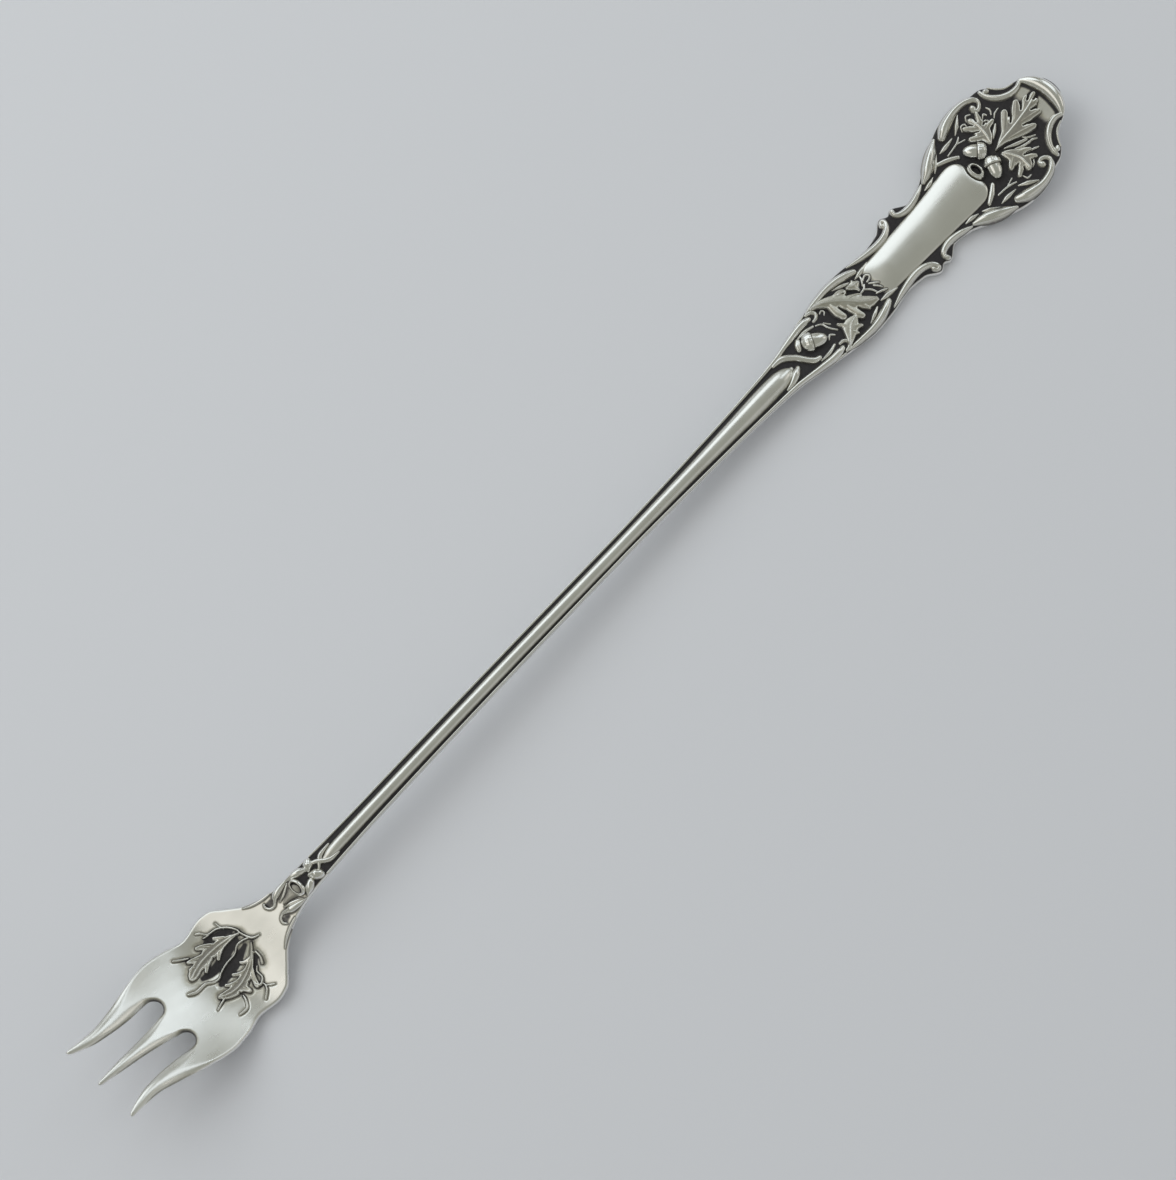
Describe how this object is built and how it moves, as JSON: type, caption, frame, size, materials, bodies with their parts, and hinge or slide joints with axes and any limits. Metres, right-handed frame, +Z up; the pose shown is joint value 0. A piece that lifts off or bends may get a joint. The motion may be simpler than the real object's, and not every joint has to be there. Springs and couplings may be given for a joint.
{
  "type": "pickle fork",
  "caption": "Long-handled table fork with three flared tines, a dished palm, a ribbed stem and a broad struck handle with oak leaf, acorn and scroll ornament.",
  "frame": {"origin": "on the table under the middle of the fork's length and width", "axes": "+X along the fork from the tines to the handle's end, +Z up, away from the table, out of the ornamented face"},
  "size_m": [0.197, 0.0186, 0.0109],
  "materials": {
    "bright_silver": "satin silver, worn bright on the raised parts",
    "oxidised_ground": "silver with a dark oxidised ground between the raised parts"
  },
  "bodies": {
    "root": {"tine_left": "bright_silver", "tine_centre": "bright_silver", "tine_right": "bright_silver", "palm": "bright_silver", "palm_leaves": "bright_silver", "palm_twigs": "bright_silver", "neck": "oxidised_ground", "neck_scrolls": "bright_silver", "neck_acorn_cup": "bright_silver", "neck_tie": "bright_silver", "stem": "oxidised_ground", "stem_rib": "bright_silver", "edge_bead_left": "bright_silver", "edge_bead_right": "bright_silver", "handle_blade": "oxidised_ground", "plain_panel": "bright_silver", "border_scrolls_left": "bright_silver", "border_scrolls_right": "bright_silver", "crown_rim": "bright_silver", "crown_leaves": "bright_silver", "spray_leaves": "bright_silver", "acorn_nuts": "bright_silver", "acorn_cups": "bright_silver", "handle_acorn_cup": "bright_silver", "handle_twigs": "bright_silver"}
  },
  "joints": []
}
